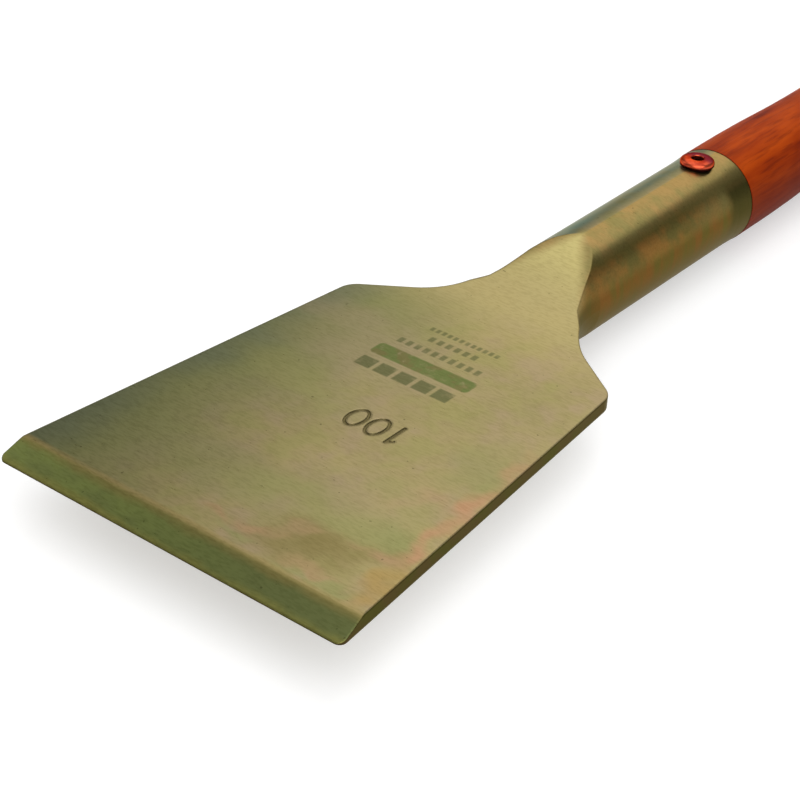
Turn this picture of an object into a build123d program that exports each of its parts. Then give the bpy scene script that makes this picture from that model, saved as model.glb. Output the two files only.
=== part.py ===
from build123d import *
import math
import os

# Wide hand scraper: a forged bronze head, a turned wooden handle in its socket and a
# copper blind rivet that holds the two together. All sizes are millimetres.
# X runs across the blade, +Y from the cutting edge to the end of the handle, +Z up.
# The blade lies level, and the origin is the bottom centre of the whole scraper.

# Blade
blade_width = 100.0
blade_back_width = 81.0
blade_length = 111.5
blade_thickness = 3.4
bevel_run = 7.7
bevel_sweep_radius = 6.0
edge_land = 0.3
tip_radius = 1.8
shoulder_radius = 6.5
blade_edge_rounding = 0.4

# Neck, where the flat blade gathers into the round socket
shoulder_angle = 35.6
neck_sweep_radius = 33.0
neck_flank_width = 27.2
neck_sweep_end_angle = 60.0
neck_tail_width = 18.0
neck_tail_length = 30.5
neck_length = 36.5
swell_overlap = 5.5
ramp_setback = 20.5
ramp_angle = 24.1
ramp_sweep_radius = 50.0
crest_sweep_radius = 12.0
crest_angle = 2.0

# Socket
head_length = 225.0
axis_drop = 2.6
socket_front_radius = 13.45
socket_back_radius = 13.6
lip_length = 7.0
lip_flare = 0.25
bore_mouth_radius = 11.3
bore_end_radius = 10.2
bore_floor_length = 13.0
bore_tip_length = 4.0

# Handle
grip_length = 175.0
tenon_gap = 0.05
tenon_end_gap = 1.0
shoulder_proud = 0.1
collar_radius = 14.0
waist_radius = 13.2
swell_radius = 16.4
grip_shares = {"collar": 0.07, "waist": 0.36, "swell": 0.76}
butt_round_share = 0.74

# Rivet
rivet_setback = 10.2
rivet_head_radius = 4.85
rivet_head_height = 1.9
rivet_rim_height = 0.6
rivet_crown_radius = 2.4
rivet_shank_radius = 2.4
rivet_bore_radius = 1.75
rivet_mouth_rounding = 0.4
rivet_shank_length = 10.0
rivet_hole_gap = 0.05
mandrel_gap = 0.03
mandrel_break_depth = 1.9
mandrel_head_radius = 2.3
mandrel_head_length = 2.4
rivet_hole_spare = 0.5

# Stamped size numerals
numeral_height = 8.3
numeral_width = 5.3
numeral_stroke = 0.85
numeral_depth = 0.3
nought_pitch = 6.05
one_pitch = 5.2
numeral_setback = 63.4
numeral_centre_x = 7.9
numeral_flag = 2.6
flag_angle = 43.0

# Common overrun for cuts
overrun = 2.0

# Places that follow from the sizes
overall_length = head_length + grip_length
edge_y = -overall_length / 2
shoulder_y = edge_y + blade_length
socket_y = shoulder_y + neck_length
mouth_y = edge_y + head_length
bore_depth = mouth_y - socket_y - bore_floor_length - bore_tip_length
lip_radius = socket_back_radius + lip_flare
axis_z = max(swell_radius, collar_radius, lip_radius)
face_z = axis_z + axis_drop
underside_z = face_z - blade_thickness
socket_axis = Axis((0, 0, axis_z), (0, 1, 0))
half_width = blade_width / 2
half_back = blade_back_width / 2
half_flank = neck_flank_width / 2
one_x = numeral_centre_x + one_pitch


# The plan of the blade and its shoulders, one half of it
slope = math.radians(shoulder_angle)
sweep_tangent = neck_sweep_radius * math.tan((math.pi / 2 - slope) / 2)
flank_meet_y = shoulder_y + (half_back - half_flank) * math.tan(slope)
sweep_start = (half_flank + sweep_tangent * math.cos(slope), flank_meet_y - sweep_tangent * math.sin(slope))
sweep_centre = (half_flank + neck_sweep_radius, flank_meet_y + sweep_tangent)
sweep_stop = math.radians(neck_sweep_end_angle)
sweep_end = (
    sweep_centre[0] - neck_sweep_radius * math.sin(sweep_stop),
    sweep_centre[1] - neck_sweep_radius * math.cos(sweep_stop),
)
tail_y = shoulder_y + neck_tail_length

# Stations of the forged swell under the neck, from the blade to the round socket:
# how far along it, half its width and half its height
swell_length = swell_overlap + neck_length
swell_along_shares = (0, 0.2, 0.4, 0.6, 0.8, 1)
swell_width_shares = (2.0, 1.93, 1.65, 1.28, 1.035, 1)
swell_height_shares = (0.05, 0.24, 0.55, 0.84, 0.975, 1)

# The ramp that carries the flat top face up to the crest of the socket
climb = math.radians(ramp_angle)
ramp_tangent = ramp_sweep_radius * math.tan(climb / 2)
ramp_foot_y = shoulder_y + ramp_setback
ramp_top_z = axis_z + socket_back_radius + overrun

# The soft crest, where the ramp bends over to run out along the top of the socket
taper = (socket_back_radius - socket_front_radius) / (mouth_y - lip_length - socket_y)
crest_height = axis_z + socket_front_radius - face_z
ramp_rate = math.tan(climb)
crest_y = (crest_height + ramp_foot_y * ramp_rate - socket_y * taper) / (ramp_rate - taper)
crest_z = face_z + (crest_y - ramp_foot_y) * ramp_rate
crest_slope = math.atan(taper) + math.radians(crest_angle)
crest_tangent = crest_sweep_radius * math.tan((climb - crest_slope) / 2)
crest_start = (crest_y - crest_tangent * math.cos(climb), crest_z - crest_tangent * math.sin(climb))
crest_end = (crest_y + crest_tangent * math.cos(crest_slope), crest_z + crest_tangent * math.sin(crest_slope))

# The ground bevel falls from the top face to the land at the edge, over a soft brow
bevel_slope = (blade_thickness - edge_land) / bevel_run
bevel_angle = math.atan(bevel_slope)
brow_y = edge_y + bevel_run
brow_tangent = bevel_sweep_radius * math.tan(bevel_angle / 2)
brow_start = (brow_y - brow_tangent * math.cos(bevel_angle), face_z - brow_tangent * math.sin(bevel_angle))
brow_end = (brow_y + brow_tangent, face_z)

# The rivet stands on the crest of the socket
rivet_y = mouth_y - rivet_setback
rivet_seat_rise = max(0, lip_length - rivet_setback + rivet_head_radius) * lip_flare / lip_length
rivet_seat_z = axis_z + socket_back_radius + rivet_seat_rise
rivet_plane = Plane.XZ.offset(-rivet_y)
rivet_axis = Axis((0, rivet_y, 0), (0, 0, 1))
rivet_hole_bottom_z = rivet_seat_z - rivet_shank_length - mandrel_head_length - rivet_hole_spare


with BuildPart() as scraper_head:
    # Blade, shoulders and the tail that runs into the neck
    with BuildSketch(Plane.XY.offset(underside_z)):
        with BuildLine():
            Line((0, edge_y), (half_width, edge_y))
            Line((half_width, edge_y), (half_back, shoulder_y))
            Line((half_back, shoulder_y), sweep_start)
            TangentArc(sweep_start, sweep_end, tangent=(-math.cos(slope), math.sin(slope)))
            Polyline(sweep_end, (neck_tail_width / 2, tail_y), (0, tail_y))
            mirror(about=Plane.YZ)
        blade_plan = make_face()
        corners = blade_plan.vertices().filter_by(lambda v: abs(v.X) > half_back - shoulder_radius)
        fillet(corners.group_by(Axis.Y)[0], radius=tip_radius)
        shoulders = vertices().filter_by(lambda v: abs(v.Y - shoulder_y) < overrun)
        fillet(shoulders, radius=shoulder_radius)
    extrude(amount=ramp_top_z - underside_z)

    # Forged swell, from a thin oval inside the blade to the full round of the socket
    for along, wide, high in zip(swell_along_shares, swell_width_shares, swell_height_shares):
        station_y = shoulder_y - swell_overlap + along * swell_length
        with BuildSketch(Plane((0, station_y, axis_z), x_dir=(1, 0, 0), z_dir=(0, 1, 0))):
            Ellipse(wide * socket_front_radius, high * socket_front_radius)
    loft()

    # Socket, turned about the handle's axis and bored with a taper
    with BuildSketch(Plane.YZ):
        with BuildLine():
            Polyline(
                (socket_y, axis_z),
                (socket_y, axis_z + socket_front_radius),
                (mouth_y - lip_length, axis_z + socket_back_radius),
                (mouth_y, axis_z + lip_radius),
                (mouth_y, axis_z + bore_mouth_radius),
                (mouth_y - bore_depth, axis_z + bore_end_radius),
                (mouth_y - bore_depth - bore_tip_length, axis_z),
                close=True,
            )
        make_face()
    revolve(axis=socket_axis)

    # Everything above the top face and the ramp is cut away
    with BuildSketch(Plane.YZ):
        with BuildLine():
            Line((edge_y - overrun, face_z), (ramp_foot_y - ramp_tangent, face_z))
            TangentArc(
                (ramp_foot_y - ramp_tangent, face_z),
                (ramp_foot_y + ramp_tangent * math.cos(climb), face_z + ramp_tangent * math.sin(climb)),
                tangent=(1, 0),
            )
            Line(
                (ramp_foot_y + ramp_tangent * math.cos(climb), face_z + ramp_tangent * math.sin(climb)),
                crest_start,
            )
            TangentArc(crest_start, crest_end, tangent=(math.cos(climb), math.sin(climb)))
            Polyline(
                crest_end,
                (crest_end[0], ramp_top_z + overrun),
                (edge_y - overrun, ramp_top_z + overrun),
                (edge_y - overrun, face_z),
            )
        make_face()
    extrude(amount=half_width + overrun, both=True, mode=Mode.SUBTRACT)

    # The long edges of the top face are eased
    top_face = faces().filter_by(Plane.XY).group_by(Axis.Z)[-1].sort_by(SortBy.AREA)[-1]
    long_edges = top_face.outer_wire().edges().filter_by(lambda e: abs((e @ 1 - e @ 0).Y) > bevel_run)
    fillet(long_edges, radius=blade_edge_rounding)

    # Ground bevel on the top face, down to a thin land at the cutting edge
    with BuildSketch(Plane.YZ):
        with BuildLine():
            Line((edge_y - overrun, face_z - (bevel_run + overrun) * bevel_slope), brow_start)
            TangentArc(brow_start, brow_end, tangent=(math.cos(bevel_angle), math.sin(bevel_angle)))
            Polyline(
                brow_end,
                (brow_end[0], face_z + overrun),
                (edge_y - overrun, face_z + overrun),
                (edge_y - overrun, face_z - (bevel_run + overrun) * bevel_slope),
            )
        make_face()
    extrude(amount=half_width + overrun, both=True, mode=Mode.SUBTRACT)

    # Hole for the rivet through the upper wall of the socket
    with BuildSketch(Plane.XY.offset(axis_z)):
        with Locations((0, rivet_y)):
            Circle(rivet_shank_radius + rivet_hole_gap)
    extrude(amount=lip_radius + overrun, mode=Mode.SUBTRACT)

    # Size numerals, stamped to be read from the handle: a one and two noughts
    with BuildSketch(Plane.XY.offset(face_z - numeral_depth)):
        for place in (0, -1):
            with Locations((numeral_centre_x + place * nought_pitch, edge_y + numeral_setback)):
                Ellipse(numeral_width / 2, numeral_height / 2)
                Ellipse(
                    numeral_width / 2 - numeral_stroke,
                    numeral_height / 2 - numeral_stroke,
                    mode=Mode.SUBTRACT,
                )
        with Locations((one_x, edge_y + numeral_setback)):
            Rectangle(numeral_stroke, numeral_height)
        with Locations(Location((one_x, edge_y + numeral_setback - numeral_height / 2, 0), (0, 0, flag_angle))):
            Rectangle(numeral_flag, numeral_stroke, align=Align.MIN)
    extrude(amount=numeral_depth + overrun, mode=Mode.SUBTRACT)
scraper_head.part.label = "scraper_head"


with BuildPart() as handle:
    # Tapered tenon, shoulder against the mouth and a grip with a waist and a palm swell
    collar_y = mouth_y + grip_shares["collar"] * grip_length
    waist_y = mouth_y + grip_shares["waist"] * grip_length
    swell_y = mouth_y + grip_shares["swell"] * grip_length
    butt_y = mouth_y + grip_length
    shoulder_proud_radius = lip_radius + shoulder_proud
    tenon_end_y = mouth_y - bore_depth + tenon_end_gap
    with BuildSketch(Plane.YZ):
        with BuildLine():
            Polyline(
                (butt_y, axis_z),
                (tenon_end_y, axis_z),
                (tenon_end_y, axis_z + bore_end_radius - tenon_gap),
                (mouth_y, axis_z + bore_mouth_radius - tenon_gap),
                (mouth_y, axis_z + shoulder_proud_radius),
            )
            Line((mouth_y, axis_z + shoulder_proud_radius), (collar_y, axis_z + collar_radius))
            # Two long S curves, level at the collar, the waist and the palm swell
            for (near_y, near_radius), (far_y, far_radius) in (
                ((collar_y, collar_radius), (waist_y, waist_radius)),
                ((waist_y, waist_radius), (swell_y, swell_radius)),
            ):
                Bezier(
                    (near_y, axis_z + near_radius),
                    ((near_y + far_y) / 2, axis_z + near_radius),
                    ((near_y + far_y) / 2, axis_z + far_radius),
                    (far_y, axis_z + far_radius),
                )
            Bezier(
                (swell_y, axis_z + swell_radius),
                (swell_y + butt_round_share * (butt_y - swell_y), axis_z + swell_radius),
                (butt_y, axis_z + butt_round_share * swell_radius),
                (butt_y, axis_z),
            )
        make_face()
    revolve(axis=socket_axis)

    # The rivet's hole, drilled from the top of the tenon
    with BuildSketch(Plane.XY.offset(rivet_hole_bottom_z)):
        with Locations((0, rivet_y)):
            Circle(rivet_shank_radius + rivet_hole_gap)
    extrude(amount=lip_radius + overrun, mode=Mode.SUBTRACT)
handle.part.label = "handle"


with BuildPart() as rivet_body:
    # Hollow shank and a round-edged head whose bore has a soft mouth
    head_top_z = rivet_seat_z + rivet_head_height
    shank_end_z = rivet_seat_z - rivet_shank_length
    with BuildSketch(rivet_plane):
        with BuildLine():
            Polyline(
                (rivet_bore_radius, head_top_z - rivet_mouth_rounding),
                (rivet_bore_radius, shank_end_z),
                (rivet_shank_radius, shank_end_z),
                (rivet_shank_radius, rivet_seat_z),
                (rivet_head_radius, rivet_seat_z),
                (rivet_head_radius, rivet_seat_z + rivet_rim_height),
            )
            Bezier(
                (rivet_head_radius, rivet_seat_z + rivet_rim_height),
                (rivet_head_radius, head_top_z),
                (rivet_crown_radius, head_top_z),
            )
            Line(
                (rivet_crown_radius, head_top_z),
                (rivet_bore_radius + rivet_mouth_rounding, head_top_z),
            )
            TangentArc(
                (rivet_bore_radius + rivet_mouth_rounding, head_top_z),
                (rivet_bore_radius, head_top_z - rivet_mouth_rounding),
                tangent=(-1, 0),
            )
        make_face()
    revolve(axis=rivet_axis)
rivet_body.part.label = "rivet_body"


with BuildPart() as rivet_mandrel:
    # Broken stem down inside the bore, with its head under the end of the shank
    stem_radius = rivet_bore_radius - mandrel_gap
    with BuildSketch(rivet_plane):
        with BuildLine():
            Polyline(
                (0, head_top_z - mandrel_break_depth),
                (stem_radius, head_top_z - mandrel_break_depth),
                (stem_radius, shank_end_z),
                (mandrel_head_radius, shank_end_z),
                (mandrel_head_radius, shank_end_z - mandrel_head_length),
                (0, shank_end_z - mandrel_head_length),
                close=True,
            )
        make_face()
    revolve(axis=rivet_axis)
rivet_mandrel.part.label = "rivet_mandrel"


os.makedirs("parts", exist_ok=True)
for piece in (scraper_head, handle, rivet_body, rivet_mandrel):
    export_step(piece.part, f"parts/{piece.part.label}.step")
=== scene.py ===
import logging
import math
from dataclasses import dataclass
from enum import Enum

import bpy
import numpy as np
from mathutils import Euler, Matrix, Vector


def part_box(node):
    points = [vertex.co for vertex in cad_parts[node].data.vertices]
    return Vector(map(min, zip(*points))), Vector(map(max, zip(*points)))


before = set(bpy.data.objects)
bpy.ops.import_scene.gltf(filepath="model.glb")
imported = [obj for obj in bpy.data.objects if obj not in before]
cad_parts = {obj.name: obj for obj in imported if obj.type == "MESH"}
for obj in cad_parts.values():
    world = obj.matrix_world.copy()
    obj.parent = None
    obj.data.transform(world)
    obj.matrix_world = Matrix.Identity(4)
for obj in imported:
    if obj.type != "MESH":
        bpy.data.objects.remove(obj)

# Hand scraper: a forged bronze head, a red-stained wooden handle and a copper blind rivet.
# Blender works in metres. Sizes below are millimetres and are multiplied by MM.
MM = 0.001
LOG = logging.getLogger("scraper")
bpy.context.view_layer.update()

Socket = bpy.types.NodeSocket
Node = bpy.types.Node
Feed = Socket | Node | float | str | tuple
Triple = tuple[float, float, float]

# A fade is a pair of values: a mask is 0 at the first and 1 at the second, which may be the lower.
Fade = tuple[float, float]


class Tone(Enum):
    """The tints of the thin oxide that lies in patches on the bronze."""

    GREEN = "#888758"
    SAGE = "#8D8A5A"
    PINK = "#A28464"
    SALMON = "#AA8464"
    ORANGE = "#9C8452"
    BROWN = "#81754B"
    OLIVE = "#868258"
    MAUVE = "#95876A"


class Kind(Enum):
    """The nodes that the finishes are made of: each one's type and its settings."""

    SURFACE = ("TexCoord", {})
    SPLIT = ("SeparateXYZ", {})
    PLACE = ("Mapping", {"vector_type": "POINT"})
    OVAL = ("Mapping", {"vector_type": "TEXTURE"})
    NOISE = ("TexNoise", {})
    STEP = ("MapRange", {"interpolation_type": "SMOOTHSTEP"})
    SLOPE = ("MapRange", {"interpolation_type": "LINEAR"})
    MIX = ("Mix", {"data_type": "RGBA"})
    TINT = ("Mix", {"data_type": "RGBA", "blend_type": "MULTIPLY"})
    CHOOSE = ("Mix", {"data_type": "FLOAT"})
    SUM = ("Math", {"operation": "ADD"})
    LESS = ("Math", {"operation": "SUBTRACT"})
    TIMES = ("Math", {"operation": "MULTIPLY"})
    TIMES_PLUS = ("Math", {"operation": "MULTIPLY_ADD"})
    SIZE = ("Math", {"operation": "ABSOLUTE"})
    LARGER = ("Math", {"operation": "MAXIMUM"})
    TO_AND_FRO = ("Math", {"operation": "PINGPONG"})
    VECTOR_LESS = ("VectorMath", {"operation": "SUBTRACT"})
    VECTOR_TIMES_PLUS = ("VectorMath", {"operation": "MULTIPLY_ADD"})
    VECTOR_SIZE = ("VectorMath", {"operation": "ABSOLUTE"})
    VECTOR_LARGER = ("VectorMath", {"operation": "MAXIMUM"})
    LENGTH = ("VectorMath", {"operation": "LENGTH"})
    SOFT_EDGES = ("Bevel", {"samples": 6})
    BUMP = ("Bump", {})
    LIGHT_PATH = ("LightPath", {})
    GLOW = ("Emission", {})
    PRINCIPLED = ("BsdfPrincipled", {})
    BOTH_SHADERS = ("AddShader", {})
    OUTPUT = ("OutputMaterial", {})


def linear(code: str) -> tuple[float, float, float, float]:
    """Turns an sRGB hex colour into linear RGBA.

    A channel below the toe is divided by the toe's slope. Above it, the lift is added, the sum is
    divided by one plus the lift, and the result is raised to the power.

    Args:
        code: six hex digits, with or without a leading hash sign.

    Returns:
        Red, green, blue and an alpha of one, in linear light.
    """
    toe, toe_slope, lift, power = 0.04045, 12.92, 0.055, 2.4
    digits = code.lstrip("#")
    values = [int(digits[i : i + 2], 16) / 255 for i in (0, 2, 4)]
    return (*[v / toe_slope if v <= toe else ((v + lift) / (1 + lift)) ** power for v in values], 1.0)


@dataclass(frozen=True)
class Mottle:
    """Noise of a real size.

    The size is that of one blob, in metres. The detail is the number of finer octaves, the
    stretch says how many times longer a blob is along X, Y and Z, and the seed moves it all.
    """

    size: float
    detail: float = 2.0
    stretch: Triple = (1.0, 1.0, 1.0)
    seed: float = 0.0
    roughness: float = 0.55


@dataclass
class Graph:
    """A material's node tree, with one way of adding a node to it."""

    material: bpy.types.Material

    @classmethod
    def new(cls, name: str) -> "Graph":
        """Makes an empty node material.

        Args:
            name: the material's name.

        Returns:
            The graph of its node tree.
        """
        material = bpy.data.materials.new(name)
        material.use_nodes = True
        material.node_tree.nodes.clear()
        return cls(material)

    def add(self, kind: Kind, *inputs: Feed, **named: Feed) -> Node:
        """Adds one node with its settings and links.

        An input is fed by an output, by a node's first output in use, by an sRGB hex colour or
        by a plain value.

        Args:
            kind: which node, and how it is set.
            inputs: what feeds the inputs in use, in their order.
            named: what feeds the inputs of these names, with underscores for spaces.

        Returns:
            The new node.
        """
        node_type, settings = kind.value
        tree = self.material.node_tree
        node = tree.nodes.new("ShaderNode" + node_type)
        for key, value in settings.items():
            setattr(node, key, value)
        feeds = list(zip([socket for socket in node.inputs if socket.enabled], inputs))
        feeds += [(node.inputs[name.replace("_", " ")], value) for name, value in named.items()]
        for socket, value in feeds:
            if isinstance(value, Node):
                value = next(output for output in value.outputs if output.enabled)
            if isinstance(value, Socket):
                tree.links.new(value, socket)
            else:
                socket.default_value = linear(value) if isinstance(value, str) else value
        return node

    def overlap(self, *masks: Feed) -> Feed:
        """Multiplies masks and strengths.

        Args:
            masks: two or more of them.

        Returns:
            A mask that is full only where all of them are.
        """
        result = masks[0]
        for mask in masks[1:]:
            result = self.add(Kind.TIMES, result, mask)
        return result

    def mottle(self, where: Socket, pattern: Mottle) -> Node:
        """Lays noise of a real size: object coordinates divided by the size of a blob.

        Args:
            where: object coordinates.
            pattern: the noise.

        Returns:
            The noise node, with its Fac and Color outputs.
        """
        seeds = (pattern.seed,) * 3
        scale = tuple(1 / (pattern.size * times) for times in pattern.stretch)
        place = self.add(Kind.PLACE, where, Location=seeds, Scale=scale)
        return self.add(
            Kind.NOISE, Vector=place, Scale=1.0, Detail=pattern.detail, Roughness=pattern.roughness
        )

    def sway(self, where: Socket, pattern: Mottle, reach: float) -> Node:
        """Turns noise into a shift that makes a straight limit wander.

        Args:
            where: object coordinates.
            pattern: the noise.
            reach: how far apart the two extremes of the shift are, in metres.

        Returns:
            The shift, from minus half the reach to plus half the reach.
        """
        return self.add(Kind.SLOPE, self.mottle(where, pattern), 0.0, 1.0, -reach / 2, reach / 2)

    def graded(self, value: Feed, stops: tuple[tuple[float, str], ...]) -> Feed:
        """Runs from colour to colour in straight lines.

        Args:
            value: what drives it.
            stops: each colour, as sRGB hex, and the value at which it is reached.

        Returns:
            The colour at the value.
        """
        colour = stops[0][1]
        for (low, _), (high, code) in zip(stops, stops[1:]):
            colour = self.add(Kind.MIX, self.add(Kind.SLOPE, value, low, high), colour, code)
        return colour

    def panel(self, where: Socket, centre: tuple, half: tuple, corner: float, soft: float) -> Node:
        """A rounded rectangle seen from above.

        A point's distance from the inner box (the half sizes less the corner's radius) is the
        length of its absolute offset less those sizes, held at zero or more. The panel is where
        that distance is less than the corner's radius.

        Args:
            where: object coordinates.
            centre: the panel's middle, X and Y, in metres.
            half: half its sizes along X and Y, in metres.
            corner: its corners' radius, in metres.
            soft: the width of its soft edge, in metres.

        Returns:
            A mask, 1 inside.
        """
        flat_offset = self.add(
            Kind.PLACE, where, Location=(-centre[0], -centre[1], 0.0), Scale=(1.0, 1.0, 0.0)
        )
        inner = (half[0] - corner, half[1] - corner, 0.0)
        beyond = self.add(Kind.VECTOR_LESS, self.add(Kind.VECTOR_SIZE, flat_offset), inner)
        held = self.add(Kind.VECTOR_LARGER, beyond, (0.0, 0.0, 0.0))
        return self.add(Kind.STEP, self.add(Kind.LENGTH, held), corner + soft / 2, corner - soft / 2)

    def finish(self, **inputs: Feed) -> bpy.types.Material:
        """Ends the tree in a Principled shader.

        Args:
            inputs: what feeds the shader, by name, with underscores for spaces.

        Returns:
            The finished material.
        """
        self.add(Kind.OUTPUT, Surface=self.add(Kind.PRINCIPLED, **inputs))
        return self.material


@dataclass(frozen=True)
class HeadPlan:
    """Where the head's features lie, in metres, for its finish to follow."""

    edge_y: float
    mouth_y: float
    face_z: float
    half_width: float
    bevel_run: float = 7.7 * MM
    blade_length: float = 111.5 * MM
    side_slope: float = 0.0852


@dataclass(frozen=True)
class Spot:
    """One point of the head as its finish sees it, in outputs of the graph.

    The length up is measured from the cutting edge, past_shoulder from the shoulders towards the
    handle and before_mouth from the socket's mouth towards the blade. past_blade is a mask that
    is 1 on the neck and the socket.
    """

    g: Graph
    plan: HeadPlan
    where: Socket
    x: Socket
    z: Socket
    up: Node
    past_shoulder: Node
    before_mouth: Node
    face_x: Socket
    face_up: Socket
    past_blade: Node

    @classmethod
    def of(cls, g: Graph, plan: HeadPlan, blade_end: Fade) -> "Spot":
        """Reads the point's place and facing.

        Args:
            g: the graph.
            plan: where the head's features lie.
            blade_end: past the shoulders, where the blade's finish gives way, in metres.

        Returns:
            The spot.
        """
        surface = g.add(Kind.SURFACE).outputs
        x, y, z = g.add(Kind.SPLIT, surface["Object"]).outputs
        face_x, _, face_up = g.add(Kind.SPLIT, surface["Normal"]).outputs
        past_shoulder = g.add(Kind.LESS, y, plan.edge_y + plan.blade_length)
        return cls(
            g=g,
            plan=plan,
            where=surface["Object"],
            x=x,
            z=z,
            up=g.add(Kind.LESS, y, plan.edge_y),
            past_shoulder=past_shoulder,
            before_mouth=g.add(Kind.LESS, plan.mouth_y, y),
            face_x=face_x,
            face_up=face_up,
            past_blade=g.add(Kind.STEP, past_shoulder, *blade_end),
        )


@dataclass(frozen=True)
class BladeFace:
    """The blade's top face: wide slow clouds of tan, pinker and greener spots, and a cool left edge, partly
    oxide and partly painted shade.
    """

    tans: tuple[tuple[float, str], ...] = ((0.32, "#8D835B"), (0.50, "#958860"), (0.66, "#9A8D62"))
    pink: str = "#9A876C"
    olive: str = "#908A58"
    # The cool band and the darker edge at the left are partly oxide and partly painted shade.
    cool: str = "#808156"
    shaded_cool_edge: str = "#71765B"
    clouds: Mottle = Mottle(34 * MM, 3.0, seed=2.3)
    spots: Mottle = Mottle(10 * MM, seed=31.7)
    pink_fade: Fade = (0.48, 0.68)
    olive_fade: Fade = (0.50, 0.32)
    spot_strength: float = 0.6
    cool_limit: Mottle = Mottle(26 * MM, seed=6.6)
    cool_sway: float = 22 * MM
    cool_fade: Fade = (46 * MM, 6 * MM)
    cool_strength: float = 0.95
    shaded_cool_edge_fade: Fade = (14 * MM, -2 * MM)

    def colour(self, spot: Spot) -> Feed:
        """Works out the bare face's colour.

        Args:
            spot: the point.

        Returns:
            The colour.
        """
        g, plan = spot.g, spot.plan
        blade = g.graded(g.mottle(spot.where, self.clouds), self.tans)
        tint = g.mottle(spot.where, self.spots)
        pink_on = g.overlap(g.add(Kind.STEP, tint, *self.pink_fade), self.spot_strength)
        blade = g.add(Kind.MIX, pink_on, blade, self.pink)
        olive_on = g.overlap(g.add(Kind.STEP, tint, *self.olive_fade), self.spot_strength)
        blade = g.add(Kind.MIX, olive_on, blade, self.olive)
        from_widest = g.add(Kind.SUM, spot.x, plan.half_width)
        from_left = g.add(Kind.TIMES_PLUS, spot.up, -plan.side_slope, from_widest)
        inward = g.add(Kind.SUM, from_left, g.sway(spot.where, self.cool_limit, self.cool_sway))
        # A cool, darker band along the left edge: partly oxide, partly painted shade.
        oxide_and_shade_on = g.overlap(g.add(Kind.STEP, inward, *self.cool_fade), self.cool_strength)
        blade = g.add(Kind.MIX, oxide_and_shade_on, blade, self.cool)
        return g.add(Kind.MIX, g.add(Kind.STEP, inward, *self.shaded_cool_edge_fade), blade, self.shaded_cool_edge)


@dataclass(frozen=True)
class Stain:
    """One soft oval patch of oxide on the blade's top face. Places are millimetres."""

    tone: Tone
    at: tuple[float, float]
    reach: tuple[float, float]
    turn: float = 0.0
    strength: float = 1.0


@dataclass(frozen=True)
class OxideStains:
    """The soft patches of oxide on the blade, laid from the middle of the face to its corners."""

    drift: Mottle = Mottle(11 * MM, 1.5, seed=3.1)
    drift_reach: float = 16 * MM
    rim_fade: Fade = (1.4, 0.1)
    stains: tuple[Stain, ...] = (
        Stain(Tone.OLIVE, (-8, -172), (26, 10), 12, 0.7),
        Stain(Tone.SAGE, (8, -171), (22, 5), 22, 0.6),
        Stain(Tone.SAGE, (28, -170.5), (17, 6), 25, 0.85),
        Stain(Tone.GREEN, (38, -168.5), (7.5, 7), 0, 0.9),
        Stain(Tone.BROWN, (26, -181.5), (17, 7.5), 18, 1.0),
        Stain(Tone.PINK, (20.5, -179.5), (6, 1.8), 20, 0.4),
        Stain(Tone.PINK, (13.5, -183.6), (4.5, 2), 10, 0.7),
        Stain(Tone.PINK, (3, -185.2), (5, 1.8), 0, 0.6),
        Stain(Tone.BROWN, (43, -173), (6, 4), 0, 0.5),
        Stain(Tone.PINK, (40, -175), (7, 2.4), 0, 0.7),
        Stain(Tone.PINK, (31, -187), (6, 1.6), 0, 0.5),
        Stain(Tone.GREEN, (38, -189.3), (7, 1.9), 0, 0.8),
        Stain(Tone.GREEN, (28, -189.8), (5, 1.4), 0, 0.7),
        Stain(Tone.GREEN, (11, -188.6), (6, 1.8), 0, 0.7),
        Stain(Tone.ORANGE, (47, -182), (4, 9), 0, 0.9),
        Stain(Tone.ORANGE, (46, -190.5), (6, 3), 0, 0.8),
        Stain(Tone.SALMON, (44, -168.5), (3.6, 5.5), 0, 0.9),
        Stain(Tone.SALMON, (44.4, -159), (3, 6), 4, 0.8),
        Stain(Tone.SALMON, (43.6, -148), (3.6, 8), 5, 1.0),
        Stain(Tone.SALMON, (43, -133), (2.6, 10), 5, 0.6),
        Stain(Tone.PINK, (34.5, -153), (7, 5), 0, 0.35),
        Stain(Tone.GREEN, (40.5, -139.5), (4, 4), 0, 0.5),
        Stain(Tone.SAGE, (37.6, -157), (4, 5), 0, 0.5),
        Stain(Tone.OLIVE, (36, -135), (9, 12), 20, 0.6),
        Stain(Tone.MAUVE, (22, -160), (14, 9), 0, 0.4),
        Stain(Tone.MAUVE, (-12, -112), (26, 14), 10, 0.6),
        Stain(Tone.MAUVE, (-32, -100), (14, 8), 0, 0.5),
        Stain(Tone.SAGE, (-14, -134), (24, 7), -8, 0.5),
    )

    def over(self, spot: Spot, base: Feed) -> Feed:
        """Lays the patches over a colour.

        Each patch turns and scales the point into its own oval, where the length of the result
        is 0 at the middle and 1 at the rim. The points are first shifted by slow noise, so that
        no rim is a true oval.

        Args:
            spot: the point.
            base: the colour below.

        Returns:
            The colour with its patches.
        """
        g = spot.g
        noise = g.mottle(spot.where, self.drift).outputs["Color"]
        centred = g.add(Kind.VECTOR_LESS, noise, (0.5, 0.5, 0.5))
        across = (self.drift_reach, self.drift_reach, 0.0)
        moved = g.add(Kind.VECTOR_TIMES_PLUS, centred, across, spot.where)
        for stain in self.stains:
            at_x, at_y = (place * MM for place in stain.at)
            reach_x, reach_y = (reach * MM for reach in stain.reach)
            turn = math.radians(stain.turn)
            oval = g.add(Kind.OVAL, moved, (at_x, at_y, 0.0), (0.0, 0.0, turn), (reach_x, reach_y, 1.0))
            inside = g.add(Kind.STEP, g.add(Kind.LENGTH, oval), *self.rim_fade)
            base = g.add(Kind.MIX, g.overlap(inside, stain.strength), base, stain.tone.value)
        return base


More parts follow.
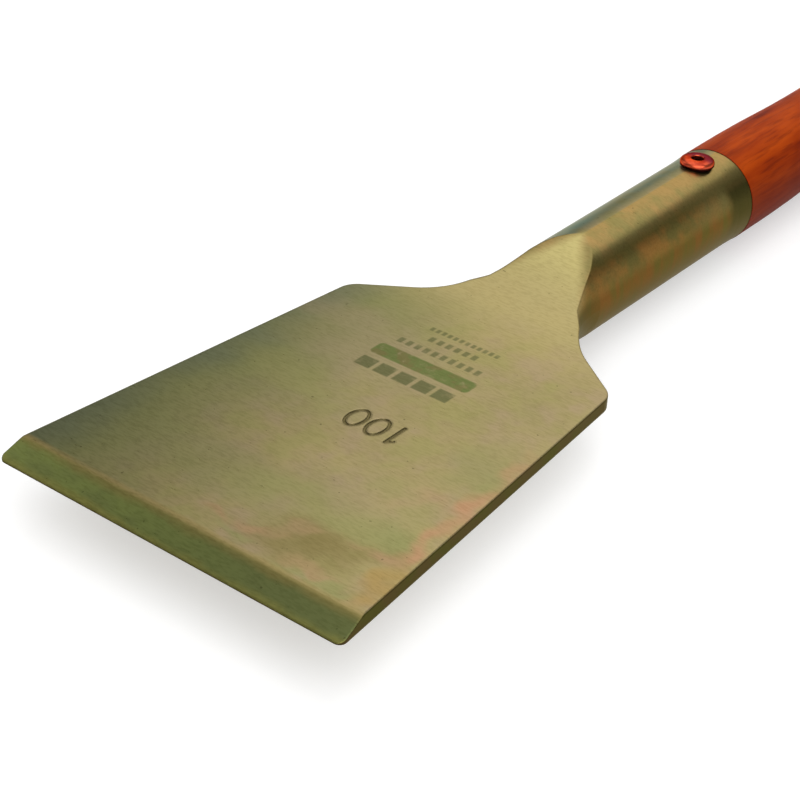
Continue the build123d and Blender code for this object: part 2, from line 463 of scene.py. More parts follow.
@dataclass(frozen=True)
class EtchedRow:
    """One row of even marks etched on the top face. Sizes are millimetres, up is from the edge."""

    pieces: int
    pitch: float
    width: float
    height: float
    up: float
    middle_x: float
    strength: float
    corner: float = 0.3


@dataclass(frozen=True)
class EtchedMark:
    """A plain etched mark on the blade: a bar, five blocks and three rows of ticks, dull green.

    The etching only stains the skin, so it has no depth, and it has worn unevenly.
    """

    green: str = "#5D6A3B"
    brown: str = "#67643D"
    row_green: str = "#595C3D"
    brown_patches: Mottle = Mottle(5 * MM, seed=27.2)
    brown_fade: Fade = (0.45, 0.62)
    wear: Mottle = Mottle(2.2 * MM, 3.0, seed=8.8)
    wear_fade: Fade = (0.05, 0.5)
    bar_middle_x: float = -0.4 * MM
    bar_up: float = 91.3 * MM
    bar_half: tuple[float, float] = (14.8 * MM, 2.7 * MM)
    bar_corner: float = 1.3 * MM
    bar_soft: float = 0.6 * MM
    bar_strength: float = 0.92
    row_soft: float = 0.55 * MM
    piece_soft: float = 0.56 * MM
    rows: tuple[EtchedRow, ...] = (
        EtchedRow(pieces=5, pitch=5.8, width=4.7, height=4.5, up=84.2, middle_x=-0.7, strength=0.85),
        EtchedRow(pieces=10, pitch=2.6, width=1.5, height=2.4, up=98.0, middle_x=-0.7, strength=0.75),
        EtchedRow(pieces=6, pitch=2.6, width=1.5, height=2.3, up=103.2, middle_x=-0.3, strength=0.75),
        EtchedRow(pieces=12, pitch=1.8, width=1.1, height=1.7, up=107.4, middle_x=0.1, strength=0.75),
    )

    def row_on(self, spot: Spot, row: EtchedRow) -> Feed:
        """A panel cut into even pieces along X.

        The distance to the nearest piece's middle is the ping-pong of X over half the pitch, and
        a piece is where that is less than half its width.

        Args:
            spot: the point.
            row: the row.

        Returns:
            A mask, 1 on the row's pieces.
        """
        g = spot.g
        middle, pitch, height = row.middle_x * MM, row.pitch * MM, row.height * MM
        half_width, half_soft = row.width * MM / 2, self.piece_soft / 2
        centre = (middle, spot.plan.edge_y + row.up * MM)
        band = g.panel(
            spot.where, centre, (row.pieces * pitch / 2, height / 2), row.corner * MM, self.row_soft
        )
        first_middle = middle + (row.pieces % 2 - 1) * pitch / 2
        away = g.add(Kind.TO_AND_FRO, g.add(Kind.LESS, spot.x, first_middle), pitch / 2)
        return g.overlap(band, g.add(Kind.STEP, away, half_width + half_soft, half_width - half_soft))

    def over(self, spot: Spot, base: Feed) -> Feed:
        """Lays the mark over a colour.

        Args:
            spot: the point.
            base: the colour below.

        Returns:
            The colour with its mark.
        """
        g = spot.g
        worn = g.add(Kind.STEP, g.mottle(spot.where, self.wear), *self.wear_fade)
        centre = (self.bar_middle_x, spot.plan.edge_y + self.bar_up)
        bar = g.panel(spot.where, centre, self.bar_half, self.bar_corner, self.bar_soft)
        browned = g.add(Kind.STEP, g.mottle(spot.where, self.brown_patches), *self.brown_fade)
        stain = g.add(Kind.MIX, browned, self.green, self.brown)
        base = g.add(Kind.MIX, g.overlap(bar, worn, self.bar_strength), base, stain)
        for row in self.rows:
            base = g.add(
                Kind.MIX, g.overlap(self.row_on(spot, row), worn, row.strength), base, self.row_green
            )
        return base


@dataclass(frozen=True)
class GroundBevel:
    """The ground bevel: green olive, darker to the right and in clouds, yellower at the edge.

    Grinding rounds the brow above it, and a broken tan line of painted highlight is laid along it.
    """

    olive: str = "#757E46"
    dark: str = "#646A40"
    brown: str = "#7F7142"
    edge: str = "#7C7A42"
    # The tan line along the brow is a painted highlight.
    line: str = "#938355"
    clouds: Mottle = Mottle(9 * MM, 3.0, stretch=(1.6, 1.0, 1.0), seed=1.2)
    right_fade: Fade = (-30 * MM, 45 * MM)
    cloud_fade: Fade = (0.58, 0.36)
    cloud_strength: float = 0.6
    limit: Mottle = Mottle(7 * MM, seed=9.9)
    limit_sway: float = 3 * MM
    brown_fade: Fade = (4.6 * MM, 7.2 * MM)
    brown_strength: float = 0.7
    edge_fade: Fade = (2.2 * MM, 0.0)
    brow_fade: Fade = (0.15 * MM, -0.25 * MM)
    line_rise: float = 0.1 * MM
    line_fade: Fade = (1.2 * MM, 0.1 * MM)
    line_breaks: Fade = (0.25, 0.6)
    line_strengths: tuple[float, float] = (0.45, 0.85)

    def over(self, spot: Spot, base: Feed) -> Feed:
        """Lays the bevel and the painted highlight line above it over the blade's colour.

        Args:
            spot: the point.
            base: the colour of the top face.

        Returns:
            The colour with its bevel.
        """
        g, run = spot.g, spot.plan.bevel_run
        cloud = g.mottle(spot.where, self.clouds)
        ground = g.add(Kind.MIX, g.add(Kind.STEP, spot.x, *self.right_fade), self.olive, self.dark)
        clouded = g.overlap(g.add(Kind.STEP, cloud, *self.cloud_fade), self.cloud_strength)
        ground = g.add(Kind.MIX, clouded, ground, self.dark)
        wandering = g.add(Kind.SUM, spot.up, g.sway(spot.where, self.limit, self.limit_sway))
        browned = g.overlap(g.add(Kind.STEP, wandering, *self.brown_fade), self.brown_strength)
        ground = g.add(Kind.MIX, browned, ground, self.brown)
        ground = g.add(Kind.MIX, g.add(Kind.STEP, wandering, *self.edge_fade), ground, self.edge)
        on_bevel = g.add(Kind.STEP, spot.up, *[run + rise for rise in self.brow_fade])
        base = g.add(Kind.MIX, on_bevel, base, ground)
        # A broken tan line of painted highlight just above the bevel.
        to_line = g.add(Kind.SIZE, g.add(Kind.LESS, spot.up, run + self.line_rise))
        strength = g.add(Kind.STEP, cloud, *self.line_breaks, *self.line_strengths)
        highlight_on = g.overlap(g.add(Kind.STEP, to_line, *self.line_fade), strength)
        return g.add(Kind.MIX, highlight_on, base, self.line)


@dataclass(frozen=True)
class NeckAndSocket:
    """The neck, paler up its ramp, and the socket's round, with its tan, olive and cool bands.

    On the crest the oxide is thinnest. A darker band where the round turns down is painted shade,
    a brighter brown band below it is painted light, and the blue-green towards the left is partly
    oxide and partly painted reflection. Lengths of the neck are measured past the shoulders.
    """

    foot: str = "#A59666"
    neck: str = "#BAAC71"
    crest: str = "#9C8050"
    crest_patch: str = "#84794A"
    # shade and its patch are painted shade, the next colour is a band of painted light, and cool is partly
    # oxide and partly painted reflection.
    shade: str = "#7E6C38"
    shade_patch: str = "#746A3A"
    painted_quarter_light: str = "#9C733C"
    cool: str = "#66867F"
    foot_fade: Fade = (-6 * MM, 22 * MM)
    neck_fade: Fade = (21 * MM, 43 * MM)
    crest_sweep: float = 1.4
    crest_fade: Fade = (42.5 * MM, 49.5 * MM)
    round_fade: Fade = (14 * MM, 22 * MM)
    patch_fade: Fade = (0.36, 0.66)
    shade_fade: Fade = (0.88, 0.70)
    painted_quarter_light_fade: Fade = (0.75, 0.64)
    mouth_fade: Fade = (36 * MM, 16 * MM)
    off_crest_fade: Fade = (0.98, 0.88)
    mouth_strength: float = 0.6
    left_fade: Fade = (0.04, -0.36)
    far_left_fade: Fade = (-1.0, -0.66)
    cool_fade: Fade = (0.86, 0.35)

    def round_colour(self, spot: Spot, blotch: Node) -> Feed:
        """Works out the socket's colour from its crest down to its sides.

        Args:
            spot: the point.
            blotch: the noise of the socket's patches.

        Returns:
            The colour.
        """
        g = spot.g
        patchy = g.add(Kind.STEP, blotch, *self.patch_fade)
        colour = g.add(Kind.MIX, patchy, self.crest, self.crest_patch)
        # Painted shade: a darker band where the round turns down from the crest.
        shade = g.add(Kind.MIX, patchy, self.shade, self.shade_patch)
        colour = g.add(Kind.MIX, g.add(Kind.STEP, spot.face_up, *self.shade_fade), colour, shade)
        # Painted light: a brighter brown band lower on the round.
        painted_quarter_light = g.add(Kind.MIX, patchy, self.painted_quarter_light, self.shade_patch)
        colour = g.add(Kind.MIX, g.add(Kind.STEP, spot.face_up, *self.painted_quarter_light_fade), colour, painted_quarter_light)
        by_mouth = g.overlap(
            g.add(Kind.STEP, spot.before_mouth, *self.mouth_fade),
            g.add(Kind.STEP, spot.face_up, *self.off_crest_fade),
            self.mouth_strength,
        )
        return g.add(Kind.MIX, by_mouth, colour, self.crest_patch)

    def over(self, spot: Spot, base: Feed, blotch: Node) -> Feed:
        """Lays the neck and the round over the blade's colour.

        The round starts along a crest that sweeps forward with the distance from the middle.

        Args:
            spot: the point.
            base: the blade's colour.
            blotch: the noise of the socket's patches.

        Returns:
            The colour of all that faces up.
        """
        g = spot.g
        top = g.add(Kind.MIX, g.add(Kind.STEP, spot.past_shoulder, *self.foot_fade), base, self.foot)
        top = g.add(Kind.MIX, g.add(Kind.STEP, spot.past_shoulder, *self.neck_fade), top, self.neck)
        from_middle = g.add(Kind.SIZE, spot.x)
        past_crest = g.add(Kind.TIMES_PLUS, from_middle, self.crest_sweep, spot.past_shoulder)
        round_on = g.overlap(
            g.add(Kind.STEP, past_crest, *self.crest_fade),
            g.add(Kind.STEP, spot.past_shoulder, *self.round_fade),
        )
        top = g.add(Kind.MIX, round_on, top, self.round_colour(spot, blotch))
        # Towards the left, a blue-green band: partly oxide, partly painted reflection.
        oxide_and_reflection_on = g.overlap(
            g.add(Kind.STEP, spot.face_x, *self.left_fade),
            g.add(Kind.STEP, spot.face_x, *self.far_left_fade),
            spot.past_blade,
            g.add(Kind.STEP, blotch, *self.cool_fade),
        )
        return g.add(Kind.MIX, oxide_and_reflection_on, top, self.cool)


@dataclass(frozen=True)
class ShadedSidesAndScale:
    """The sides and the underside, kept darker than the top: painted shade on the sides, with the scale of
    the forging.

    It runs in brown and olive streaks round the socket. The blade's flanks are dark as painted
    shade, the round is darker towards its bottom as painted shade, and it is darker in a soft stain
    at the socket's lip. A facing is the height of the normal: 1 is up, 0 level.
    """

    # The side colours are darker than the top as painted shade; low is painted shade towards the bottom of
    # the round.
    brown: str = "#744F26"
    olive: str = "#5E5426"
    low: str = "#5A5034"
    dark: str = "#433F20"
    flank_shade: str = "#463A22"
    flank_shade_patch: str = "#40401A"
    underside: str = "#7D7148"
    streaks: Mottle = Mottle(3.5 * MM, 2.5, stretch=(4.0, 1.0, 4.0), seed=14.2)
    streak_fade: Fade = (0.32, 0.68)
    lip_limit: Mottle = Mottle(8 * MM, 1.0, seed=19.1)
    lip_sway: float = 4 * MM
    lip_length: float = 11.4 * MM
    lip_soft: float = 4.4 * MM
    lip_strength: float = 0.95
    lip_top_fade: Fade = (0.82, 0.55)
    low_shade_fade: Fade = (0.15, -0.35)
    low_shade_strength: float = 0.7
    neck_fade: Fade = (39.5 * MM, 26.5 * MM)
    neck_strength: float = 0.75
    patch_fade: Fade = (0.36, 0.66)
    underside_fade: Fade = (-0.45, -0.8)
    blade_side_fade: Fade = (0.75, 0.45)
    round_side_fade: Fade = (0.55, 0.15)

    def lip_on(self, spot: Spot) -> Node:
        """Finds the stain at the socket's lip, whose limit wanders.

        Args:
            spot: the point.

        Returns:
            A mask, 1 at the mouth.
        """
        g, half_soft = spot.g, self.lip_soft / 2
        sway = g.sway(spot.where, self.lip_limit, self.lip_sway)
        inward = g.add(Kind.LESS, spot.before_mouth, sway)
        return g.add(Kind.STEP, inward, self.lip_length + half_soft, self.lip_length - half_soft)

    def side_on(self, spot: Spot) -> Node:
        """Finds all that doesn't face up, which starts lower on the round than on the blade.

        Args:
            spot: the point.

        Returns:
            A mask, 1 on the sides and beneath.
        """
        g = spot.g
        blade_side = g.add(Kind.STEP, spot.face_up, *self.blade_side_fade)
        round_side = g.add(Kind.STEP, spot.face_up, *self.round_side_fade)
        return g.add(Kind.CHOOSE, spot.past_blade, blade_side, round_side)

    def over(self, spot: Spot, top: Feed, blotch: Node, side_on: Node) -> Feed:
        """Lays the darker sides and underside, painted shade with streaks of scale, and the lip's stain on
        all of the socket.

        Args:
            spot: the point.
            top: the colour of all that faces up.
            blotch: the noise of the patches.
            side_on: a mask of what doesn't face up.

        Returns:
            The colour all round.
        """
        g = spot.g
        streaky = g.add(Kind.STEP, g.mottle(spot.where, self.streaks), *self.streak_fade)
        scale = g.add(Kind.MIX, streaky, self.brown, self.olive)
        lip_on = self.lip_on(spot)
        scale = g.add(Kind.MIX, g.overlap(lip_on, self.lip_strength), scale, self.dark)
        lip_top = g.overlap(lip_on, g.add(Kind.STEP, spot.face_up, *self.lip_top_fade))
        top = g.add(Kind.MIX, lip_top, top, self.dark)
        # Painted shade: darker towards the bottom of the round.
        low_shade_on = g.overlap(g.add(Kind.STEP, spot.face_up, *self.low_shade_fade), self.low_shade_strength)
        scale = g.add(Kind.MIX, low_shade_on, scale, self.low)
        by_neck = g.overlap(g.add(Kind.STEP, spot.past_shoulder, *self.neck_fade), self.neck_strength)
        scale = g.add(Kind.MIX, by_neck, scale, self.dark)
        patchy = g.add(Kind.STEP, blotch, *self.patch_fade)
        # Painted shade: the blade's flanks are dark.
        flank_shade = g.add(Kind.MIX, patchy, self.flank_shade, self.flank_shade_patch)
        beneath = g.add(Kind.STEP, spot.face_up, *self.underside_fade)
        flank_shade = g.add(Kind.MIX, beneath, flank_shade, self.underside)
        side = g.add(Kind.MIX, spot.past_blade, flank_shade, scale)
        # What doesn't face up takes the darker side colours: painted shade.
        return g.add(Kind.MIX, side_on, top, side)


@dataclass(frozen=True)
class StampGrime:
    """Brown grime in the grooves of the stamped numerals."""

    colour: str = "#6A6040"
    grit: Mottle = Mottle(0.9 * MM, seed=5.5)
    grit_fade: Fade = (0.05, 0.45)
    middle_x: float = 7.0 * MM
    up: float = 63.4 * MM
    half: tuple[float, float] = (13 * MM, 7 * MM)
    corner: float = 1 * MM
    soft: float = 1 * MM
    depth_fade: Fade = (-0.02 * MM, -0.16 * MM)

    def over(self, spot: Spot, base: Feed) -> Feed:
        """Lays the grime over a colour, below the top face and round the stamp only.

        Args:
            spot: the point.
            base: the colour below.

        Returns:
            The colour with its grime.
        """
        g, plan = spot.g, spot.plan
        centre = (self.middle_x, plan.edge_y + self.up)
        stamped = g.panel(spot.where, centre, self.half, self.corner, self.soft)
        sunk = g.add(Kind.STEP, spot.z, *[plan.face_z + depth for depth in self.depth_fade])
        gritty = g.add(Kind.STEP, g.mottle(spot.where, self.grit), *self.grit_fade)
        return g.add(Kind.MIX, g.overlap(stamped, sunk, gritty), base, self.colour)


@dataclass(frozen=True)
class TarnishedBronze:
    """Aluminium bronze, forged, ground, tumbled and stored in the air.

    Tumbling leaves a satin skin with a fine grain along the grinding, which runs across the
    blade. The thin oxide on it shifts from tan to sage green and pinkish brown in wide soft
    patches, and is cooler at the left edge, which is also darker as painted shade. The sides and
    the underside are kept darker than the top, painted shade with streaks of the forging scale. The
    real grain is a tenth of a millimetre wide or less, too fine to show, so it is drawn at half a
    millimetre.
    """

    face: BladeFace = BladeFace()
    stains: OxideStains = OxideStains()
    mark: EtchedMark = EtchedMark()
    bevel: GroundBevel = GroundBevel()
    socket: NeckAndSocket = NeckAndSocket()
    scale: ShadedSidesAndScale = ShadedSidesAndScale()
    grime: StampGrime = StampGrime()
    grazing: str = "#E1DAC3"
    blotches: Mottle = Mottle(9 * MM, 3.5, seed=12.4)
    blade_end: Fade = (0.0, 14 * MM)
    grain: Mottle = Mottle(0.5 * MM, stretch=(4.0, 1.0, 1.0), seed=4.4)
    grain_tint: str = "#EEEEEA"
    grain_fade: Fade = (0.62, 0.3)
    pit: str = "#3A361F"
    pits: Mottle = Mottle(1.3 * MM, 1.0, seed=21.5)
    pit_fade: Fade = (0.75, 0.79)
    pit_facing: Fade = (0.55, 0.8)
    pit_strength: float = 0.5
    roughness: float = 0.30
    grain_roughness: float = 0.10
    side_roughness: float = 0.10
    edge_softness: float = 0.7 * MM
    hammering: Mottle = Mottle(14 * MM, 1.0, seed=17.7)
    hammer_depth: float = 0.6 * MM
    hammer_strength: float = 0.10
    grain_depth: float = 0.05 * MM
    grain_strength: float = 0.06

    def pitted(self, spot: Spot, base: Feed, grain: Node) -> Feed:
        """Lays the grain and a few dark pits over a colour.

        Args:
            spot: the point.
            base: the colour below.
            grain: the noise of the grain.

        Returns:
            The colour with its grain and pits.
        """
        g = spot.g
        base = g.add(Kind.TINT, g.add(Kind.STEP, grain, *self.grain_fade), base, self.grain_tint)
        fleck = g.add(Kind.STEP, g.mottle(spot.where, self.pits), *self.pit_fade)
        upward = g.add(Kind.STEP, spot.face_up, *self.pit_facing)
        return g.add(Kind.MIX, g.overlap(fleck, upward, self.pit_strength), base, self.pit)

    def relief(self, spot: Spot, grain: Node) -> Node:
        """Softens the edges and adds slow hammering and the grain as bumps.

        Args:
            spot: the point.
            grain: the noise of the grain.

        Returns:
            The bumped normal.
        """
        g = spot.g
        soft = g.add(Kind.SOFT_EDGES, self.edge_softness)
        hammer = g.mottle(spot.where, self.hammering)
        slow = g.add(
            Kind.BUMP, Strength=self.hammer_strength, Distance=self.hammer_depth, Height=hammer, Normal=soft
        )
        return g.add(
            Kind.BUMP, Strength=self.grain_strength, Distance=self.grain_depth, Height=grain, Normal=slow
        )

    def make(self, plan: HeadPlan) -> bpy.types.Material:
        """Builds the material.

        Args:
            plan: where the head's features lie.

        Returns:
            The material.
        """
        g = Graph.new("tumbled_aluminium_bronze")
        spot = Spot.of(g, plan, self.blade_end)
        blotch = g.mottle(spot.where, self.blotches)
        top = self.stains.over(spot, self.face.colour(spot))
        top = self.bevel.over(spot, self.mark.over(spot, top))
        top = self.socket.over(spot, top, blotch)
        side_on = self.scale.side_on(spot)
        base = self.grime.over(spot, self.scale.over(spot, top, blotch, side_on))
        grain = g.mottle(spot.where, self.grain)
        half_range = self.grain_roughness / 2
        satin = g.add(
            Kind.SLOPE, grain, 0.0, 1.0, self.roughness - half_range, self.roughness + half_range
        )
        return g.finish(
            Base_Color=self.pitted(spot, base, grain),
            Roughness=g.add(Kind.TIMES_PLUS, side_on, self.side_roughness, satin),
            Metallic=1.0,
            Normal=self.relief(spot, grain),
            Specular_Tint=self.grazing,
        )


@dataclass(frozen=True)
class StainedWood:
    """Close-grained hardwood, turned, stained orange red and oiled.

    The stain sinks deeper into the early wood, so dark streaks run along the grain. The oil
    leaves a soft sheen. It is darker towards the bottom as painted shade.
    """

    figure_stops: tuple[tuple[float, str], ...] = (
        (0.30, "#782204"),
        (0.44, "#983404"),
        (0.60, "#B04408"),
        (0.78, "#983404"),
    )
    dark: str = "#782204"
    pore: str = "#541404"
    # Painted shade: the wood is darker towards the bottom.
    shade_below: str = "#641C06"
    figure: Mottle = Mottle(5.5 * MM, 3.0, stretch=(1.0, 7.0, 1.0), seed=1.9)
    clouds: Mottle = Mottle(16 * MM, stretch=(1.0, 2.0, 1.0), seed=7.4)
    cloud_fade: Fade = (0.5, 0.75)
    cloud_strength: float = 0.5
    streaks: Mottle = Mottle(0.9 * MM, 3.0, stretch=(1.0, 14.0, 1.0), seed=5.2)
    streak_fade: Fade = (0.52, 0.34)
    streak_strength: float = 0.35
    shade_below_fade: Fade = (0.8, 0.05)
    shade_below_strength: float = 0.7
    streak_depth: float = 0.08 * MM
    bump_strength: float = 0.2
    roughness: float = 0.55
    oil_index: float = 1.46
    sheen_level: float = 0.04

    def make(self) -> bpy.types.Material:
        """Builds the material, with its grain along Y.

        Returns:
            The material.
        """
        g = Graph.new("red_stained_hardwood")
        surface = g.add(Kind.SURFACE).outputs
        where = surface["Object"]
        face_up = g.add(Kind.SPLIT, surface["Normal"]).outputs[2]
        base = g.graded(g.mottle(where, self.figure), self.figure_stops)
        cloud = g.add(Kind.STEP, g.mottle(where, self.clouds), *self.cloud_fade)
        base = g.add(Kind.MIX, g.overlap(cloud, self.cloud_strength), base, self.dark)
        streaks = g.mottle(where, self.streaks)
        streak_on = g.overlap(g.add(Kind.STEP, streaks, *self.streak_fade), self.streak_strength)
        base = g.add(Kind.MIX, streak_on, base, self.pore)
        # Painted shade, darker on what faces down.
        shade_below_on = g.overlap(g.add(Kind.STEP, face_up, *self.shade_below_fade), self.shade_below_strength)
        base = g.add(Kind.MIX, shade_below_on, base, self.shade_below)
        bump = g.add(Kind.BUMP, Strength=self.bump_strength, Distance=self.streak_depth, Height=streaks)
        return g.finish(
            Base_Color=base,
            Roughness=self.roughness,
            Metallic=0.0,
            Normal=bump,
            IOR=self.oil_index,
            Specular_IOR_Level=self.sheen_level,
        )


@dataclass(frozen=True)
class Copper:
    """Drawn copper, pressed into a rivet: semi-bright on the dome, with a painted shadow at the foot of its
    rim and a dim purple painted reflection on the back of its top.

    Heights are measured from the head's underside, and lengths from the rivet's axis.
    """

    bright: str = "#CE5638"
    shade: str = "#A83C2A"
    # The purple is a painted reflection on the back of the head's top, and the dark rim is a painted shadow
    # at its foot.
    crown_reflection: str = "#70323C"
    rim: str = "#2E0E0A"
    grazing: str = "#D8A8A0"
    blotches: Mottle = Mottle(2.2 * MM, seed=3.3)
    blotch_fade: Fade = (0.35, 0.62)
    behind_fade: Fade = (-2.2 * MM, 1.2 * MM)
    crown_reflection_fade: Fade = (0.6, 0.95)
    rim_fade: Fade = (0.85 * MM, 0.35 * MM)
    bump_strength: float = 0.08
    bump_depth: float = 0.05 * MM
    roughness: float = 0.28

    def make(self, seat_y: float, seat_z: float) -> bpy.types.Material:
        """Builds the material.

        Args:
            seat_y: the rivet's place along the socket, in metres.
            seat_z: the height of the head's underside, in metres.

        Returns:
            The material.
        """
        g = Graph.new("pressed_copper")
        surface = g.add(Kind.SURFACE).outputs
        _, y, z = g.add(Kind.SPLIT, surface["Object"]).outputs
        face_up = g.add(Kind.SPLIT, surface["Normal"]).outputs[2]
        blotch = g.mottle(surface["Object"], self.blotches)
        base = g.add(Kind.MIX, g.add(Kind.STEP, blotch, *self.blotch_fade), self.shade, self.bright)
        # Painted reflection: dim purple on the back of the head's top.
        behind = g.add(Kind.STEP, y, *[seat_y + length for length in self.behind_fade])
        crown_reflection_on = g.overlap(behind, g.add(Kind.STEP, face_up, *self.crown_reflection_fade))
        base = g.add(Kind.MIX, crown_reflection_on, base, self.crown_reflection)
        # Painted shadow: dark at the foot of the head's rim.
        rim_shadow_on = g.add(Kind.STEP, z, *[seat_z + height for height in self.rim_fade])
        base = g.add(Kind.MIX, rim_shadow_on, base, self.rim)
        bump = g.add(Kind.BUMP, Strength=self.bump_strength, Distance=self.bump_depth, Height=blotch)
        return g.finish(
            Base_Color=base,
            Roughness=self.roughness,
            Metallic=1.0,
            Normal=bump,
            Specular_Tint=self.grazing,
        )


@dataclass(frozen=True)
class DullSteel:
    """The drawn steel of the rivet's stem, torn off short: a grey, gritty and dark broken end."""

    colour: str = "#1E1A1A"
    fleck: str = "#3A3432"
    grit: Mottle = Mottle(0.3 * MM)
    bump_strength: float = 0.4
    bump_depth: float = 0.1 * MM
    roughness: float = 0.55

    def make(self) -> bpy.types.Material:
        """Builds the material.

        Returns:
            The material.
        """
        g = Graph.new("broken_steel_stem")
        grit = g.mottle(g.add(Kind.SURFACE).outputs["Object"], self.grit)
        bump = g.add(Kind.BUMP, Strength=self.bump_strength, Distance=self.bump_depth, Height=grit)
        return g.finish(
            Base_Color=g.add(Kind.MIX, grit, self.colour, self.fleck),
            Roughness=self.roughness,
            Metallic=1.0,
            Normal=bump,
        )


@dataclass(frozen=True)
class Paper:
    """Pale matt backdrop paper, which shows white to the camera, to gloss and through glass."""

    colour: str = "#CBCBCB"
    fibre_colour: str = "#CFCFCF"
    glow_colour: str = "#FFFFFF"
    fibres: Mottle = Mottle(4 * MM)
    roughness: float = 0.9
    sheen_level: float = 0.1
    glow: float = 0.50

    def make(self) -> bpy.types.Material:
        """Builds the material.

        Returns:
            The material.
        """
        g = Graph.new("pale_paper")
        fibre = g.mottle(g.add(Kind.SURFACE).outputs["Object"], self.fibres)
        matt = g.add(
            Kind.PRINCIPLED,
            Base_Color=g.add(Kind.MIX, fibre, self.colour, self.fibre_colour),
            Roughness=self.roughness,
            Specular_IOR_Level=self.sheen_level,
        )
        path = g.add(Kind.LIGHT_PATH).outputs
        seen = g.add(Kind.LARGER, path["Is Camera Ray"], path["Is Glossy Ray"])
        seen = g.add(Kind.LARGER, seen, path["Is Transmission Ray"])
        white = g.add(Kind.GLOW, Color=self.glow_colour, Strength=g.overlap(seen, self.glow))
        g.add(Kind.OUTPUT, Surface=g.add(Kind.BOTH_SHADERS, matt, white))
        return g.material


def dress(node: str, material: bpy.types.Material) -> None:
    """Gives a CAD node one material.

    Args:
        node: the node's name.
        material: what it wears.
    """
    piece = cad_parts[node]
    piece.data.materials.clear()
    piece.data.materials.append(material)
    LOG.info("%s wears %s", node, material.name)


@dataclass
class Head:
    """The forged head: blade, neck and socket in one piece."""

    face_above_axis: float = 2.6 * MM
    finish: TarnishedBronze = TarnishedBronze()

    def dress(self) -> None:
        """Gives the head its bronze, placed by the head's own box and the handle's axis."""
        low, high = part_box("scraper_head")
        grip_low, grip_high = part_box("handle")
        plan = HeadPlan(
            edge_y=low[1],
            mouth_y=high[1],
            face_z=(grip_low[2] + grip_high[2]) / 2 + self.face_above_axis,
            half_width=(high[0] - low[0]) / 2,
        )
        dress("scraper_head", self.finish.make(plan))


@dataclass
class Handle:
    """The turned handle."""

    finish: StainedWood = StainedWood()

    def dress(self) -> None:
        """Gives the handle its stained wood."""
        dress("handle", self.finish.make())


@dataclass
class Rivet:
    """The blind rivet: a hollow copper body and its steel stem."""

    head_height: float = 1.9 * MM
    body_finish: Copper = Copper()
    stem_finish: DullSteel = DullSteel()

    def dress(self) -> None:
        """Gives the rivet its two metals."""
        low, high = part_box("rivet_body")
        dress("rivet_body", self.body_finish.make((low[1] + high[1]) / 2, high[2] - self.head_height))
        dress("rivet_mandrel", self.stem_finish.make())


@dataclass(frozen=True)
class SoftBox:
    """One rectangular soft lamp that faces the scraper. Lengths are metres."""

    name: str
    toward: Triple
    upward: Triple
    size: tuple[float, float]
    distance: float
    radiance: float

    def hang(self) -> None:
        """Places the lamp.

        It stands at its distance in its direction from the origin and faces back. The power is
        the radiance times pi times the area.
        """
        data = bpy.data.lights.new(self.name, "AREA")
        data.shape = "RECTANGLE"
        data.size, data.size_y = self.size
        data.energy = self.radiance * math.pi * self.size[0] * self.size[1]
        lamp = bpy.data.objects.new(self.name, data)
        out = Vector(self.toward).normalized()
        up = Vector(self.upward)
        up = (up - up.dot(out) * out).normalized()
        lamp.location = out * self.distance
        lamp.rotation_euler = Matrix((up.cross(out), up, out)).transposed().to_euler()
        bpy.context.scene.collection.objects.link(lamp)


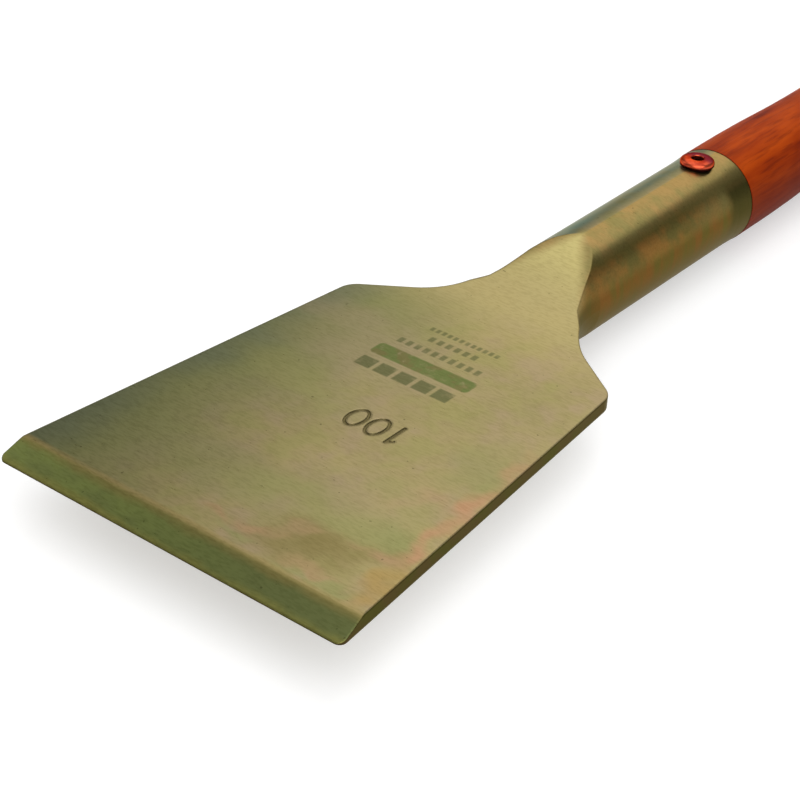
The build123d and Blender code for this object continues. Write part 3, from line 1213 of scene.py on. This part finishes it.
@dataclass
class Studio:
    """A pale floor that sweeps up into a low wall, soft lamps and the camera.

    The floor's sizes are metres, the camera's angles degrees, and its lens and sensor millimetres.
    """

    floor_rings: Triple = (0.02, 0.5, 1.2)
    floor_radius: float = 3.0
    sweep: float = 0.8
    sweep_rings: int = 13
    wall: float = 0.4
    segments: int = 96
    paper: Paper = Paper()
    sky_strength: float = 0.30
    camera_at: Triple = (245.8 * MM, -446.1 * MM, 272.9 * MM)
    look_azimuth: float = -36.83
    look_elevation: float = -32.25
    camera_roll: float = 2.885
    lens: float = 91.2
    sensor: float = 36.0
    lamps: tuple[SoftBox, ...] = (
        SoftBox("key", (-0.2545, 0.570, 1.044), (0.053, -0.533, 0.29), (1.12, 1.95), 1.216, 1.2),
        SoftBox("fill", (0.5, -0.5, 0.8), (0.0, 0.0, 1.0), (1.4, 1.4), 1.3, 2.2),
        SoftBox("side", (-0.8, -0.1, 0.6), (0.0, 0.0, 1.0), (0.5, 0.5), 1.2, 1.2),
    )

    def floor_mesh(self) -> bpy.types.Mesh:
        """Makes the floor and its sweep.

        The profile is flat out to the radius, then a quarter circle, then a short wall, and it
        is turned about Z: X is the profile's radius times the cosine, Y times the sine. One
        round face closes the middle.

        Returns:
            The mesh.
        """
        bend = np.linspace(0, math.pi / 2, self.sweep_rings)
        radius = np.concatenate([self.floor_rings, self.floor_radius + self.sweep * np.sin(bend)])
        height = np.concatenate([np.zeros(len(self.floor_rings)), self.sweep * (1 - np.cos(bend))])
        radius = np.append(radius, radius[-1])
        height = np.append(height, height[-1] + self.wall)
        turn = np.linspace(0, 2 * math.pi, self.segments, endpoint=False)
        x = np.outer(radius, np.cos(turn))
        y = np.outer(radius, np.sin(turn))
        z = np.repeat(height[:, None], self.segments, axis=1)
        points = np.stack([x, y, z], axis=-1).reshape(-1, 3)
        here = np.arange(self.segments)
        after = (here + 1) % self.segments
        inner = np.arange(len(radius) - 1)[:, None] * self.segments
        outer = inner + self.segments
        faces = np.stack([inner + here, outer + here, outer + after, inner + after], axis=-1)
        mesh = bpy.data.meshes.new("floor")
        mesh.from_pydata(points.tolist(), [], [here.tolist(), *faces.reshape(-1, 4).tolist()])
        mesh.polygons.foreach_set("use_smooth", [True] * len(mesh.polygons))
        return mesh

    def lay_floor(self) -> None:
        """Lays the floor, which isn't part of the object."""
        mesh = self.floor_mesh()
        mesh.materials.append(self.paper.make())
        floor = bpy.data.objects.new("floor", mesh)
        bpy.context.scene.collection.objects.link(floor)

    def light_sky(self) -> None:
        """Fills the sky with one neutral light."""
        world = bpy.data.worlds.new("sky")
        world.use_nodes = True
        background = world.node_tree.nodes["Background"]
        background.inputs["Color"].default_value = (1, 1, 1, 1)
        background.inputs["Strength"].default_value = self.sky_strength
        bpy.context.scene.world = world

    def set_camera(self) -> None:
        """Sets the camera at the photograph's place and angle."""
        data = bpy.data.cameras.new("camera")
        data.lens = self.lens
        data.sensor_width = self.sensor
        tilt = math.radians(90 + self.look_elevation)
        turn = Euler((tilt, 0, math.radians(-self.look_azimuth)), "XYZ").to_matrix()
        roll = Matrix.Rotation(math.radians(self.camera_roll), 3, "Z")
        camera = bpy.data.objects.new("camera", data)
        camera.rotation_euler = (turn @ roll).to_euler()
        camera.location = self.camera_at
        bpy.context.scene.collection.objects.link(camera)
        bpy.context.scene.camera = camera

    def build(self) -> None:
        """Sets up the whole studio."""
        self.lay_floor()
        self.light_sky()
        for lamp in self.lamps:
            lamp.hang()
        self.set_camera()
        bpy.context.scene.view_settings.view_transform = "Standard"


def main() -> None:
    """Dresses every sub-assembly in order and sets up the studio."""
    logging.basicConfig(level=logging.INFO)
    for part in (Head(), Handle(), Rivet()):
        part.dress()
        LOG.info("%s is done", type(part).__name__)
    Studio().build()


if __name__ == "__main__":
    main()
